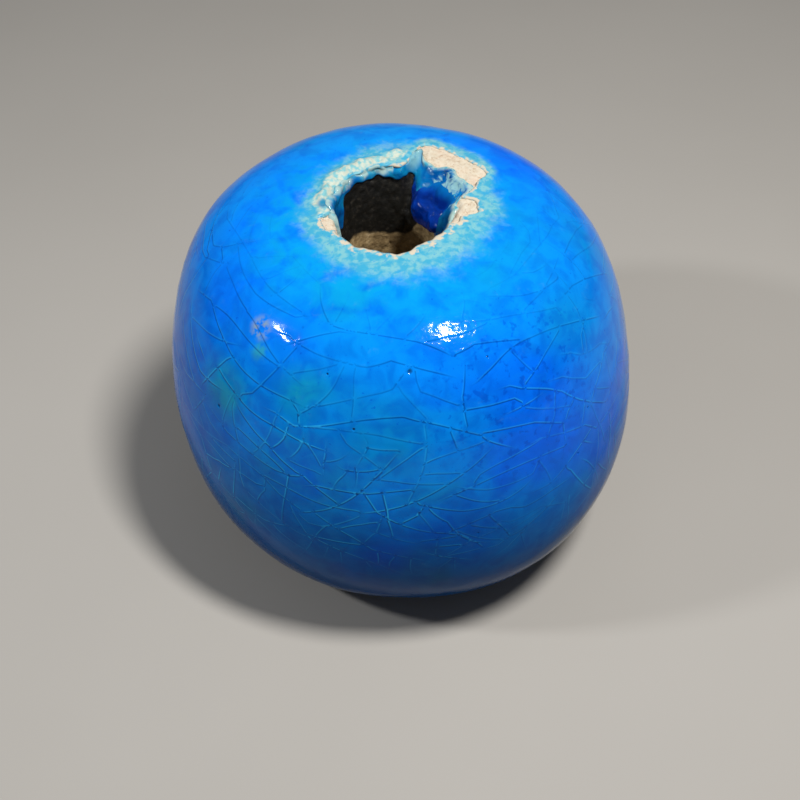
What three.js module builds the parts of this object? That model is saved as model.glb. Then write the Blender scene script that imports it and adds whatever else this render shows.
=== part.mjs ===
// A ball-form ceramic slide: a thick fired-clay ball with a straight bore along its
// vertical axis, dressed in a coat of blue glaze. The glaze stops short of both lips
// and of the flat foot, where the clay is bare, and it creeps a little way into each
// mouth of the bore. A thick run of glaze hangs on one side of the upper mouth.
//
// Millimetres, +Z up. The origin is the centre of the flat foot, on the bore's axis.

import * as THREE from 'three';

// Driving dimensions.
const BALL_RADIUS = 32;           // over the glaze, at the widest place
const BALL_HEIGHT = 53;           // from the foot to the upper lip
const GLAZE_THICKNESS = 0.8;      // the outer coat
const COLLAR_THICKNESS = 0.6;     // the coat inside each mouth
const BORE_RADIUS = 6.25;         // the straight, bare stretch of the bore
const MOUTH_RADIUS = 8.8;         // the inner edge of each lip
const LIP_WIDTH = 1.5;            // bare clay from the upper mouth out to the glaze
const FOOT_WIDTH = 5.2;           // flat bare clay from the lower mouth outwards
const MOUTH_DEPTH = 5.5;          // how far the flare of each mouth reaches
const EDGE_STEP = 0.25;           // the small round-over of each clay edge

// How full the ball's outline is: r^FULLNESS + s^SQUARE = 1, where s runs from 0 at the
// mid height to 1 at a pole. The upper half is domed and the lower half is flatter.
const FULLNESS = 5;
const UPPER_SQUARE = 1.5;
const LOWER_SQUARE = 2.6;

// The run of glaze on the wall of the upper mouth.
const RUN_TURN = THREE.MathUtils.degToRad(15);       // its middle, round from +X
const RUN_HALF_ANGLE = THREE.MathUtils.degToRad(35);
const RUN_TOP = BALL_HEIGHT - MOUTH_DEPTH - 0.3;
const RUN_LENGTH = 7;
const RUN_GAP = 0.3;              // clear of the bore's wall

const ROUND_STEPS = 48;           // facets round the axis
const DOME_STEPS = 9;             // steps from the mid height to each glaze edge
const FLARE_STEPS = 4;            // steps down each mouth

const MID_HEIGHT = BALL_HEIGHT / 2;
const LIP_RADIUS = MOUTH_RADIUS + LIP_WIDTH;
const FOOT_RADIUS = MOUTH_RADIUS + FOOT_WIDTH;
const SHOULDER_GAP = 0.1;         // between a clay edge and the glaze beside it

// Points on one half of the ball's outline, from the mid height to edgeRadius.
// inset moves the whole outline inwards; half is +1 above and -1 below.
function domePoints(inset, half, edgeRadius) {
  const square = half > 0 ? UPPER_SQUARE : LOWER_SQUARE;
  const radius = BALL_RADIUS - inset;
  const reach = MID_HEIGHT - inset;
  const lastTurn = Math.acos((edgeRadius / radius) ** (FULLNESS / 2));
  const points = [];
  for (let i = 0; i <= DOME_STEPS; i++) {
    const turn = (lastTurn * i) / DOME_STEPS;
    const r = radius * Math.cos(turn) ** (2 / FULLNESS);
    const s = Math.sin(turn) ** (2 / square);
    points.push(new THREE.Vector2(r, MID_HEIGHT + half * reach * s));
  }
  return points;
}

// The whole outline from the lower edge up to the upper edge.
function ballOutline(inset, lowerEdge, upperEdge) {
  const lower = domePoints(inset, -1, lowerEdge).reverse();
  const upper = domePoints(inset, 1, upperEdge);
  return [...lower, ...upper.slice(1)];
}

// The flare of a mouth, from the bore's wall out to the lip: a quarter of an ellipse.
// liner is how far a coat stands proud of the clay.
function flarePoints(half, liner) {
  const points = [];
  for (let i = 0; i <= FLARE_STEPS; i++) {
    const turn = (Math.PI / 2) * (i / FLARE_STEPS);
    const r = MOUTH_RADIUS - (MOUTH_RADIUS - BORE_RADIUS) * Math.cos(turn) - liner;
    const depth = MOUTH_DEPTH * (1 - Math.sin(turn)) + EDGE_STEP;
    points.push(new THREE.Vector2(r, MID_HEIGHT + half * (MID_HEIGHT - depth)));
  }
  return points;
}

// A closed ring turned about +Z from a profile of (radius, height) points.
function turned(points) {
  const closed = [...points, points[0].clone()];
  const geometry = new THREE.LatheGeometry(closed, ROUND_STEPS);
  geometry.rotateX(Math.PI / 2);
  return geometry;
}

function clayGeometry() {
  const outline = ballOutline(GLAZE_THICKNESS, FOOT_RADIUS, LIP_RADIUS);
  const upperFlare = flarePoints(1, 0).reverse();
  const lowerFlare = flarePoints(-1, 0);
  return turned([
    new THREE.Vector2(MOUTH_RADIUS + EDGE_STEP, 0),
    new THREE.Vector2(FOOT_RADIUS - EDGE_STEP, 0),
    ...outline,
    new THREE.Vector2(LIP_RADIUS - EDGE_STEP, BALL_HEIGHT),
    new THREE.Vector2(MOUTH_RADIUS + EDGE_STEP, BALL_HEIGHT),
    ...upperFlare,
    ...lowerFlare,
  ]);
}

// The glaze lies on the clay's own outline, and stops beside the lip and the foot.
function outerGlazeGeometry() {
  const inside = ballOutline(GLAZE_THICKNESS, FOOT_RADIUS, LIP_RADIUS);
  const outside = ballOutline(0, FOOT_RADIUS + SHOULDER_GAP, LIP_RADIUS + SHOULDER_GAP);
  return turned([...outside, ...inside.reverse()]);
}

// The coat inside one mouth, on the clay's own flare.
function mouthGlazeGeometry(half) {
  const clay = flarePoints(half, 0);
  const face = flarePoints(half, COLLAR_THICKNESS);
  face[0].x = (clay[0].x + face[0].x) / 2;
  const points = [...clay, ...face.reverse()];
  return turned(half > 0 ? points : points.reverse());
}

// The run is a thick bead with a flat face, between the bore's wall and a chord of it.
function glazeRunGeometry() {
  const shape = new THREE.Shape();
  shape.absarc(0, 0, BORE_RADIUS - RUN_GAP, -RUN_HALF_ANGLE, RUN_HALF_ANGLE);
  shape.closePath();
  const geometry = new THREE.ExtrudeGeometry(shape, {
    depth: RUN_LENGTH,
    bevelEnabled: false,
    curveSegments: FLARE_STEPS * 2,
  });
  geometry.rotateZ(RUN_TURN);
  return geometry;
}

function piece(name, geometry, color, roughness) {
  const material = new THREE.MeshStandardMaterial({ color, roughness, metalness: 0 });
  const mesh = new THREE.Mesh(geometry, material);
  mesh.name = name;
  return mesh;
}

const slide = new THREE.Group();
slide.add(piece('clay_body', clayGeometry(), 0xe6d2b4, 0.9));
slide.add(piece('outer_glaze', outerGlazeGeometry(), 0x0a7be0, 0.12));
slide.add(piece('upper_mouth_glaze', mouthGlazeGeometry(1), 0x1a86c8, 0.12));
slide.add(piece('lower_mouth_glaze', mouthGlazeGeometry(-1), 0x1a86c8, 0.12));

const run = piece('glaze_run', glazeRunGeometry(), 0x0a3aa8, 0.08);
run.position.z = RUN_TOP - RUN_LENGTH;
slide.add(run);

export default slide;
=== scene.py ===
"""The looks of a ball-form ceramic slide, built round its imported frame.

The real object is one lump of fired clay under glaze. Each piece here is a closed mesh:
the clay ball with its bore, the crackled outer glaze, the glaze inside each mouth, and
the thick run of glaze in the upper mouth. Every crack of the glaze is a real ridge in
the outer glaze's mesh, with a real groove beside it.

Lengths in this file are millimetres and angles are degrees, unless a name says
otherwise. Angles run round +Z from +X, so -90 faces the camera. A mesh is scaled to
metres when it is made.
"""

import itertools
import math

import bmesh
import bpy
import numpy as np
from mathutils import Matrix, Vector, kdtree
from mathutils.geometry import delaunay_2d_cdt


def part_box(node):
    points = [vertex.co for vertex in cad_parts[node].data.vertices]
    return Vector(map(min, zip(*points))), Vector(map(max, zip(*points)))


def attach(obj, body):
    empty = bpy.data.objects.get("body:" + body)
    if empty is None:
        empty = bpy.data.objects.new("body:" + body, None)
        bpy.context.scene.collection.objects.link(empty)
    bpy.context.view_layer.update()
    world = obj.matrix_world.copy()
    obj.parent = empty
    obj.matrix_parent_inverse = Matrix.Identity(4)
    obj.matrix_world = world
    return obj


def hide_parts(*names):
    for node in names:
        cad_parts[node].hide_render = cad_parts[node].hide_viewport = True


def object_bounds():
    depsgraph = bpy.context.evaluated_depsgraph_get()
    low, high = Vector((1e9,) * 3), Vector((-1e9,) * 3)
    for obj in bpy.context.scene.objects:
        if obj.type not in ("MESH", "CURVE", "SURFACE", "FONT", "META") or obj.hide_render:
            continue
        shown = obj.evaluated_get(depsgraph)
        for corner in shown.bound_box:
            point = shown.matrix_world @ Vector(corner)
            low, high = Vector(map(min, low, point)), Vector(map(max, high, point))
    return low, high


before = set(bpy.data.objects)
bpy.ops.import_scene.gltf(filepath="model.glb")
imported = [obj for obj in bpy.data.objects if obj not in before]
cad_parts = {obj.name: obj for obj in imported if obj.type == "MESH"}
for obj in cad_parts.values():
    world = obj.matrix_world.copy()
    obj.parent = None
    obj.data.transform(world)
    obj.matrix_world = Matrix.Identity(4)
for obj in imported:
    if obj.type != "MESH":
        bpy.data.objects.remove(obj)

MM = 0.001

# ---------------------------------------------------------------- sizes from the frame

cad_low, cad_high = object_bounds()
glaze_low, glaze_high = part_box("outer_glaze")
mouth_low, mouth_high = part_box("upper_mouth_glaze")

BALL_RADIUS = (glaze_high.x - glaze_low.x) / 2 / MM
HEIGHT = cad_high.z / MM
MID_HEIGHT = HEIGHT / 2
MOUTH_RADIUS = (mouth_high.x - mouth_low.x) / 2 / MM
MOUTH_FLARE = 2.55                # from the bore's wall out to the mouth's edge
BORE_RADIUS = MOUTH_RADIUS - MOUTH_FLARE
GLAZE_THICKNESS = 0.8
FOOT_WIDTH = 5.2
FOOT_RADIUS = MOUTH_RADIUS + FOOT_WIDTH

# ---------------------------------------------------------------- small numeric helpers


def smooth(value):
    """An ease from 0 to 1."""
    t = np.clip(value, 0.0, 1.0)
    return t * t * (3 - 2 * t)


def polar(r, theta, z):
    """Points at a distance from the axis, an angle and a height."""
    r, t, z = np.broadcast_arrays(r, np.radians(theta), z)
    return np.stack([r * np.cos(t), r * np.sin(t), z], axis=-1)


def running_length(r, z):
    """The distance run along a line of points, at each of them."""
    return np.concatenate([[0.0], np.cumsum(np.hypot(np.diff(r), np.diff(z)))])


def turn_between(theta, centre):
    """The angle from centre to theta in degrees, from -180 to 180."""
    return (theta - centre + 180.0) % 360.0 - 180.0


def window(theta, centre, half, soft):
    """1 within half degrees of centre, easing to 0 over soft degrees."""
    return smooth((half + soft - np.abs(turn_between(theta, centre))) / soft)


def lattice(ix, iy, iz, seed):
    """A repeatable number from 0 to 1 for each whole-number place."""
    h = ix * 374761393 + iy * 668265263 + iz * 1442695041 + seed * 1274126177
    h = (h ^ (h >> 13)) & 0xFFFFFFFF
    h = (h * 1103515245) & 0xFFFFFFFF
    h = ((h ^ (h >> 16)) * 374761393) & 0xFFFFFFFF
    return ((h ^ (h >> 15)) & 0xFFFF) / 65535.0


def noise(points, size, seed, octaves=3):
    """Smooth noise from about -1 to 1 at the given points, with lumps of the given size."""
    total = np.zeros(len(points))
    weight, reach = 1.0, 0.0
    for octave in range(octaves):
        at = points / size * 2**octave + 17.3 * octave
        cell = np.floor(at).astype(np.int64)
        f = at - cell
        f = f * f * (3 - 2 * f)
        value = np.zeros(len(points))
        for corner in range(8):
            step = np.array([corner & 1, corner >> 1 & 1, corner >> 2])
            share = np.prod(np.where(step, f, 1 - f), axis=1)
            key = (cell + step).T
            value += share * lattice(key[0], key[1], key[2], seed + octave)
        total += weight * (2 * value - 1)
        reach += weight
        weight *= 0.5
    return total / reach * 1.6


# ---------------------------------------------------------------- the ball's form

# How full the outline is, as in the CAD solids: r^FULLNESS + s^SQUARE = 1.
FULLNESS = 5
UPPER_SQUARE = 1.5
LOWER_SQUARE = 2.6
OUTLINE_STEP = 0.1
OUTLINE_BLUR = 2.5


def ball_outline():
    """The outline over the glaze from the top's centre to the foot's, at even steps.

    It is the CAD outline with its changes of curvature blurred, as hands leave it.
    """
    turn = np.linspace(math.pi / 2, -math.pi / 2, 6001)
    square = np.where(turn > 0, UPPER_SQUARE, LOWER_SQUARE)
    r = np.maximum(np.cos(turn), 0.0) ** (2 / FULLNESS)
    z = np.sign(turn) * np.abs(np.sin(turn)) ** (2 / square)
    r, z = BALL_RADIUS * r, MID_HEIGHT * z
    length = running_length(r, z)
    even = np.arange(0.0, length[-1], OUTLINE_STEP)
    r, z = np.interp(even, length, r), np.interp(even, length, z)
    reach = int(4 * OUTLINE_BLUR / OUTLINE_STEP)
    bell = np.exp(-0.5 * (np.arange(-reach, reach + 1) * OUTLINE_STEP / OUTLINE_BLUR) ** 2)
    bell /= bell.sum()
    r = np.convolve(np.concatenate([-r[reach:0:-1], r, -r[-2:-reach - 2:-1]]), bell, "valid")
    z = np.convolve(np.concatenate([z[reach:0:-1], z, z[-2:-reach - 2:-1]]), bell, "valid")
    r = np.maximum(r, 0.0) * BALL_RADIUS / r.max()
    z = (z - z.min()) / (z.max() - z.min()) * HEIGHT
    return r, z


OUTLINE_R, OUTLINE_Z = ball_outline()
OUTLINE_AT = np.arange(len(OUTLINE_R)) * OUTLINE_STEP
SLOPE_R, SLOPE_Z = np.gradient(OUTLINE_R), np.gradient(OUTLINE_Z)
SLOPE = np.hypot(SLOPE_R, SLOPE_Z)
NORMAL_R, NORMAL_Z = -SLOPE_Z / SLOPE, SLOPE_R / SLOPE
WIDEST_AT = OUTLINE_AT[np.argmax(OUTLINE_R)]
# The outline's distance from the top, unrolled so that small shapes keep their angles.
UNROLLED = np.concatenate([[0.0], np.cumsum(OUTLINE_STEP / np.maximum(OUTLINE_R[1:], 1.0))])


def outline_at_radius(radius):
    """How far down the outline a radius on the ball's top lies."""
    top = OUTLINE_AT <= WIDEST_AT
    return np.interp(radius, OUTLINE_R[top], OUTLINE_AT[top])


def swelling(theta, z, centre, height, soft, reach):
    """1 at an angle and a height on the ball, falling away over soft degrees and reach."""
    return window(theta, centre, 15, soft) * np.exp(-0.5 * ((z - height) / reach) ** 2)


def unevenness(theta, z):
    """How far the hand-formed ball stands out of a true one, in millimetres."""
    ring = polar(30.0, theta, z)
    swell = 1.6 * swelling(theta, z, -30, 14, 50, 9)
    swell += 1.0 * swelling(theta, z, 135, 47, 50, 7)
    swell += 0.4 * swelling(theta, z, -90, 8, 50, 8)
    swell -= 0.3 * swelling(theta, z, -130, 9, 50, 8)
    swell += 0.22 * noise(ring, 22.0, 5, octaves=2)
    return swell


def form(theta, along, inset=0.0):
    """Points on the ball, along millimetres down its outline from the top's centre."""
    r = np.interp(along, OUTLINE_AT, OUTLINE_R)
    z = np.interp(along, OUTLINE_AT, OUTLINE_Z)
    normal_r = np.interp(along, OUTLINE_AT, NORMAL_R)
    normal_z = np.interp(along, OUTLINE_AT, NORMAL_Z)
    r = r + unevenness(theta, z) * smooth((r - 13) / 14)
    return polar(r - inset * normal_r, theta, z - inset * normal_z)


# ---------------------------------------------------------------- the mouth's shape


def crest_radius(theta):
    """Where the flat top turns down into the mouth: the back right is worn widest."""
    wide = 3.2 * window(theta, 50, 23, 15) + 0.3 * window(theta, 26, 5, 10)
    wide += 0.9 * window(theta, 140, 40, 30) + 0.9 * window(theta, -120, 22, 35)
    wide -= 0.6 * window(theta, -42, 16, 25)
    t = np.radians(theta)
    ripple = 0.10 * np.sin(5 * t + 0.7) + 0.08 * np.sin(11 * t) + 0.05 * np.sin(19 * t + 1.0)
    return MOUTH_RADIUS - 1.1 + wide + ripple


def flare_depth(theta):
    """How deep the flare of the mouth goes before the straight bore."""
    straight_back = 7.0 * window(theta, 145, 62, 20)
    steep_front = 4.2 * window(theta, -82, 55, 30)
    return 2.2 + straight_back + steep_front + 2.8 * window(theta, 24, 28, 30)


def flare_curl(theta):
    """1 where the flare falls straight to the bore, 2 where it curls down into it."""
    return 2.0 - 0.95 * window(theta, -82, 50, 35) - 0.7 * window(theta, 145, 62, 20)


def glaze_edge(theta):
    """The radius at which the outer glaze stops; beyond it the clay of the lip is bare."""
    t = np.radians(theta)
    ripple = 0.08 * np.sin(7 * t) + 0.08 * np.sin(17 * t + 1.0) + 0.06 * np.sin(31 * t + 0.3)
    back_patch = 2.7 * window(theta, 54, 22, 6)
    right_patch = 1.9 * window(theta, 1, 6, 8) + 0.7 * window(theta, -13, 8, 6)
    left_patch = 1.4 * window(theta, -162, 6, 5)
    return crest_radius(theta) + 0.26 + back_patch + right_patch + left_patch + ripple


def mouth_glaze_edge(theta):
    """The radius at which the glaze inside the mouth starts."""
    t = np.radians(theta)
    ripple = 0.14 * np.sin(9 * t + 0.5) + 0.07 * np.sin(23 * t) + 0.05 * np.sin(41 * t)
    back_ripple = 0.22 * np.sin(15 * t + 1.3) * window(theta, 50, 30, 10)
    over_crest = 0.35 * window(theta, 45, 30, 8) + 1.0 * window(theta, 140, 50, 8)
    over_crest += 1.7 * window(theta, 82, 7, 5)
    return crest_radius(theta) - 0.3 + over_crest + ripple + back_ripple


LIP_ROUND = 0.7                   # the rounding where the top turns down
BORE_SHIFT = np.array([-0.9, 0.25])   # the bore's axis stands a little to one side
SECTION_OUTER = 15.5              # where the section of the mouth starts, on the top
SECTION_DEPTH = 20.0              # how deep it goes
BARE_INSET = 0.14                 # of bare clay below the ball's form
TOP_POINTS, ROUND_POINTS, FLARE_POINTS = 20, 8, 24


def bore_radius(theta):
    """The bore's wall, measured from the ball's own axis."""
    t = np.radians(theta)
    shift = BORE_SHIFT[0] * np.cos(t) + BORE_SHIFT[1] * np.sin(t)
    return BORE_RADIUS + shift + 0.1 * np.sin(2 * t + 0.8)


def shade_depth(theta):
    """How deep the painted shade on the bore's wall reaches before the tan clay, painted lighter
    where light falls, shows.
    """
    return 10.0 - 4.6 * window(theta, 22, 26, 36) - 1.3 * window(theta, 150, 15, 40)


def mouth_section(theta, count):
    """Radius and height of clay down one side of the mouth, at even steps, for one angle.

    It runs from the flat top inwards, over the crest, down the flare and into the bore.
    """
    crest = crest_radius(theta)
    wall = bore_radius(theta)
    deep = flare_depth(theta)
    curl = flare_curl(theta)
    top_r = np.linspace(SECTION_OUTER, crest + LIP_ROUND, TOP_POINTS)
    top_z = np.interp(outline_at_radius(top_r), OUTLINE_AT, OUTLINE_Z)
    bare = smooth((glaze_edge(theta) + 0.7 - top_r) / 0.6)
    top_z = top_z - GLAZE_THICKNESS * (1 - bare) - BARE_INSET * bare
    tip = math.atan2(deep, curl * (crest - wall))
    turn = np.linspace(0, tip, ROUND_POINTS)[1:]
    round_r = crest + LIP_ROUND * (1 - np.sin(turn))
    round_z = top_z[-1] - LIP_ROUND * (1 - np.cos(turn))
    fall = np.linspace(0, 1, FLARE_POINTS)[1:]
    flare_r = wall + (round_r[-1] - wall) * (1 - fall) ** curl
    flare_z = round_z[-1] - deep * fall
    r = np.concatenate([top_r, round_r, flare_r, [wall]])
    z = np.concatenate([top_z, round_z, flare_z, [HEIGHT - SECTION_DEPTH]])
    length = running_length(r, z)
    even = np.linspace(0.0, length[-1], count)
    return np.interp(even, length, r), np.interp(even, length, z)


# ---------------------------------------------------------------- making meshes


def make_piece(name, points, faces, attributes=()):
    """A smooth-shaded mesh in metres, from points in millimetres."""
    mesh = bpy.data.meshes.new(name)
    mesh.from_pydata((np.asarray(points) * MM).tolist(), [], faces)
    mesh.update()
    mesh.polygons.foreach_set("use_smooth", [True] * len(mesh.polygons))
    for label, values in attributes:
        layer = mesh.attributes.new(label, "FLOAT", "POINT")
        layer.data.foreach_set("value", np.asarray(values, np.float32))
    piece = bpy.data.objects.new(name, mesh)
    bpy.context.scene.collection.objects.link(piece)
    return piece


def strip(above, below):
    """Quads between two closed rings, each given as the numbers of its points."""
    corners = [above, np.roll(above, -1), np.roll(below, -1), below]
    return np.stack(corners, axis=1).tolist()


def ring_faces(rows, columns):
    """Quads of a closed tube: rows run round its section and columns round the axis."""
    at = np.arange(rows * columns).reshape(rows, columns)
    faces = []
    for above, below in zip(at, np.roll(at, -1, axis=0)):
        faces += strip(above, below)
    return faces


def face_outwards(piece, weld=False):
    """Turns every face of a closed mesh to point out. weld first joins points that coincide."""
    bm = bmesh.new()
    bm.from_mesh(piece.data)
    if weld:
        bmesh.ops.remove_doubles(bm, verts=bm.verts, dist=0.01 * MM)
        bmesh.ops.dissolve_degenerate(bm, edges=bm.edges, dist=0.001 * MM)
    bmesh.ops.recalc_face_normals(bm, faces=bm.faces)
    bm.to_mesh(piece.data)
    bm.free()
    piece.data.polygons.foreach_set("use_smooth", [True] * len(piece.data.polygons))


def mesh_normals(points, faces):
    """A unit normal at each point of a mesh of quads."""
    corners = points[np.array(faces)]
    face_normals = np.cross(corners[:, 2] - corners[:, 0], corners[:, 3] - corners[:, 1])
    normals = np.zeros_like(points)
    for corner in range(4):
        np.add.at(normals, np.array(faces)[:, corner], face_normals)
    return normals / np.maximum(np.linalg.norm(normals, axis=1, keepdims=True), 1e-12)


# ---------------------------------------------------------------- the clay body

CLAY_COLUMNS = 340
CLAY_SECTION_ROWS = 120
LOWER_FLARE_TOP = 4.5             # where the bore starts to widen into the lower mouth
LOWER_LIP = 0.6                   # the rounding of the lower mouth's edge
UNDER_GLAZE_ROWS, BORE_ROWS, FOOT_ROWS = 70, 60, 16
LOWER_FLARE_ROWS, LOWER_LIP_ROWS = 14, 6


def lower_crest(theta):
    """The radius of the lower mouth's edge."""
    return MOUTH_RADIUS + 0.15 * np.sin(np.radians(4 * theta) + 1.0)


def build_clay_body():
    """The fired clay: hidden under the glaze, bare at the lips, in the bore and on the foot."""
    theta = np.arange(CLAY_COLUMNS) * 360.0 / CLAY_COLUMNS
    rows = []
    grain = []
    shaded_bore = []
    lit_bore = []

    # A row's dark share is the bore's painted shade; below it, low in the bore, tan clay is painted
    # lighter where light falls.
    def add_row(r, z, roughness, dark):
        rows.append(polar(r, theta, z))
        grain.append(np.full(len(theta), roughness))
        shaded_bore.append(np.broadcast_to(dark, theta.shape))
        lit_bore.append(smooth((HEIGHT - z - shade_depth(theta)) / 4.0 + 0.5))

    sections = [mouth_section(angle, CLAY_SECTION_ROWS) for angle in theta]
    section_r = np.array([s[0] for s in sections])
    section_z = np.array([s[1] for s in sections])

    # Under the outer glaze, from the foot's edge up to where the mouth's section starts.
    foot_at = OUTLINE_AT[-1] - FOOT_RADIUS
    section_at = outline_at_radius(SECTION_OUTER) + 0.8
    for along in np.linspace(foot_at, section_at, UNDER_GLAZE_ROWS):
        rows.append(form(theta, np.full(len(theta), along), GLAZE_THICKNESS))
        for values in (grain, shaded_bore, lit_bore):
            values.append(np.zeros(len(theta)))

    # The upper mouth.
    edge = mouth_glaze_edge(theta)
    for k in range(CLAY_SECTION_ROWS):
        # The clay below the mouth's coat gets the bore's painted shade.
        dark = smooth((edge - 0.3 - section_r[:, k]) / 0.4)
        rough = 0.13 if k < CLAY_SECTION_ROWS // 3 else 0.10
        add_row(section_r[:, k], section_z[:, k], rough, dark)

    # The bore, and the lower mouth, which is plainer.
    wall = section_r[:, -1]
    for z in np.linspace(HEIGHT - SECTION_DEPTH - 0.5, LOWER_FLARE_TOP, BORE_ROWS):
        add_row(wall, z, 0.10, 1.0)
    crest = lower_crest(theta)
    flare_height = LOWER_FLARE_TOP - LOWER_LIP
    for fall in np.linspace(0, 1, LOWER_FLARE_ROWS)[1:]:
        turn = fall * math.pi / 2
        r = wall + (crest - wall) * (1 - math.cos(turn))
        add_row(r, LOWER_FLARE_TOP - flare_height * math.sin(turn), 0.06, 1.0 - fall)
    for fall in np.linspace(0, 1, LOWER_LIP_ROWS)[1:]:
        lip = LOWER_LIP * math.sin(fall * math.pi / 2)
        add_row(crest + lip, LOWER_LIP - lip, 0.05, 0.0)

    # The flat foot, then its outer edge.
    for r in np.linspace(MOUTH_RADIUS + 2 * LOWER_LIP, FOOT_RADIUS - 0.5, FOOT_ROWS):
        add_row(r, 0.0, 0.0, 0.0)
    add_row(FOOT_RADIUS - 0.2, 0.08, 0.0, 0.0)
    add_row(FOOT_RADIUS - 0.02, 0.4, 0.0, 0.0)

    points = np.concatenate(rows)
    grain, shaded_bore, lit_bore = (np.concatenate(values) for values in (grain, shaded_bore, lit_bore))
    faces = ring_faces(len(rows), CLAY_COLUMNS)
    normals = mesh_normals(points, faces)
    lumps = 0.8 * noise(points, 0.9, 11, octaves=3) + 0.5 * noise(points, 3.0, 12, octaves=2)
    pores = np.minimum(0.0, noise(points, 0.55, 13, octaves=1) + 0.45)
    points = points + normals * (grain * (lumps + 1.2 * pores))[:, None]
    points[:, 2] = np.maximum(points[:, 2], 0.0)
    return make_piece("clay_ball", points, faces, [("shaded_bore", shaded_bore), ("lit_bore", lit_bore)])


# ---------------------------------------------------------------- the net of cracks

CRACK_STEP = 0.42
CRACK_WIDTH = 0.14
MEET = 0.36                       # how near another crack a growing one stops
CROSSING = 0.2                    # the share of meetings that it runs straight across
KINK = 0.06                       # the share of steps at which it turns sharply
FADE_LENGTH = 2.6                 # over which a crack's free end dies out
FEWEST_POINTS = 6                 # of a crack that is kept
ROUND_CRACKS = 46                 # long cracks over the sides and the back
TANGLE_CRACKS = 9
GOLDEN_TURN = 137.508             # degrees; spreads places evenly
GOLDEN_SHARE = 0.618034
GAP_TRIES = 26                    # places looked at to find one wide gap
SPLITS = 780                      # how many of the widest gaps are split
NARROW_GAP = 0.9                  # in cell sizes: a gap this small is left alone
rng = np.random.default_rng(74)

# The longest cracks on the front: angle, distance down from the top's
# centre, heading (0 to the right, 90 down), and reach each way in millimetres.
LONG_CRACKS = [
    (-100, 21, 2, 11), (-101, 25, 4, 12), (-92, 31, -3, 17), (-64, 35, 12, 13),
    (-60, 41, 2, 12), (-101, 43, -46, 10), (-86, 48, 25, 12), (-83, 42, -30, 10),
    (-68, 47, 6, 12), (-45, 35, 54, 11), (-45, 26, 12, 12), (-32, 37, 145, 7),
    (-27, 41, 150, 8), (-21, 46, 155, 7), (-74, 31, 90, 6), (-140, 30, 20, 13),
    (-116, 32, 50, 9), (-153, 35, 28, 8), (-140, 31, -50, 8), (-118, 40, 30, 10),
]

# Where the glaze is scribbled over with small curled cracks.
TANGLE = (-106, 38)


class CrackNet:
    """Cracks grown over the ball. Each one runs until it meets another or fades out."""

    def __init__(self):
        self.places = np.zeros((0, 3), np.float32)
        self.headings = np.zeros((0, 3))
        self.points = []
        self.lines = []
        self.boxes = {}

    @staticmethod
    def place(theta, along):
        """A place on the true ball, without the hand-formed unevenness."""
        r = float(np.interp(along, OUTLINE_AT, OUTLINE_R))
        t = math.radians(theta)
        height = float(np.interp(along, OUTLINE_AT, OUTLINE_Z))
        return r * math.cos(t), r * math.sin(t), height

    def met(self, place):
        """The number of the nearest crack point within MEET of a place, or None."""
        home = [int(v // MEET) for v in place]
        best, best_gap = None, MEET
        for dx, dy, dz in itertools.product((-1, 0, 1), repeat=3):
            for k, other in self.boxes.get((home[0] + dx, home[1] + dy, home[2] + dz), ()):
                gap = math.dist(place, other)
                if gap < best_gap:
                    best, best_gap = k, gap
        return best

    def arm(self, theta, along, heading, reach, bend):
        """One arm of a crack from a start: its points, and whether its end is free."""
        line = []
        curl = rng.normal(0, bend)
        crossing = False
        for _ in range(int(reach / CRACK_STEP)):
            curl += rng.normal(0, bend * 0.25) - 0.06 * curl
            heading += curl + rng.normal(0, 1.0)
            if rng.random() < KINK:
                heading += rng.normal(0, 20)
            radius = np.interp(along, OUTLINE_AT, OUTLINE_R)
            theta += math.degrees(CRACK_STEP * math.cos(math.radians(heading)) / radius)
            along += CRACK_STEP * math.sin(math.radians(heading))
            if not crack_may_run(theta, along):
                return line, True
            k = self.met(self.place(theta, along))
            if k is None:
                crossing = False
            elif not crossing:
                crossing = rng.random() < CROSSING
                if not crossing:
                    line.append(self.points[k])
                    return line, False
            line.append((theta, along))
        return line, True

    def grow(self, theta, along, heading, reach, bend, plain):
        """A whole crack, grown both ways from a start. plain is how clearly it shows."""
        ahead, ahead_free = self.arm(theta, along, heading, reach, bend)
        behind, behind_free = self.arm(theta, along, heading + 180, reach, bend)
        line = np.array(behind[::-1] + [(theta, along)] + ahead)
        if len(line) < FEWEST_POINTS:
            return
        line[:, 0] = np.degrees(np.unwrap(np.radians(line[:, 0])))
        places = np.array([self.place(theta, along) for theta, along in line])
        for k, place in enumerate(places, len(self.points)):
            box = tuple(int(v // MEET) for v in place)
            self.boxes.setdefault(box, []).append((k, tuple(place)))
        self.places = np.concatenate([self.places, places.astype(np.float32)])
        self.headings = np.concatenate([self.headings, np.gradient(places, axis=0)])
        self.points += [tuple(point) for point in line]
        self.lines.append((line, plain, behind_free, ahead_free))


def crack_may_run(theta, along):
    """Cracks keep off the thin glaze round the mouth and off the smooth upper back."""
    if along > OUTLINE_AT[-1] - FOOT_RADIUS - 2.5:
        return False
    start = 15.5 + 1.5 * math.sin(math.radians(3 * theta))
    start += 9.0 * float(window(theta, 88, 42, 35))
    return along > start


def flow(theta, along):
    """The usual heading of a crack, in degrees: 0 runs round the ball, 90 down it."""
    down = float(smooth((along - 18) / 20))
    side = 40 * float(window(theta, -25, 14, 22)) + 34 * float(window(theta, -150, 18, 25))
    low = 30 * float(smooth((along - 38) / 8)) * math.sin(math.radians(9 * theta + 40))
    return side * down + low + 10 * math.sin(math.radians(2 * theta + 5 * along))


def cell_size(theta, along):
    """How wide the crackle's cells are here: they are smallest low on the front."""
    low_front = window(theta, -85, 45, 40) * smooth((along - 30) / 8)
    return 2.0 - 0.7 * low_front - 0.2 * np.sin(np.radians(theta * 2 + along * 9))


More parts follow.
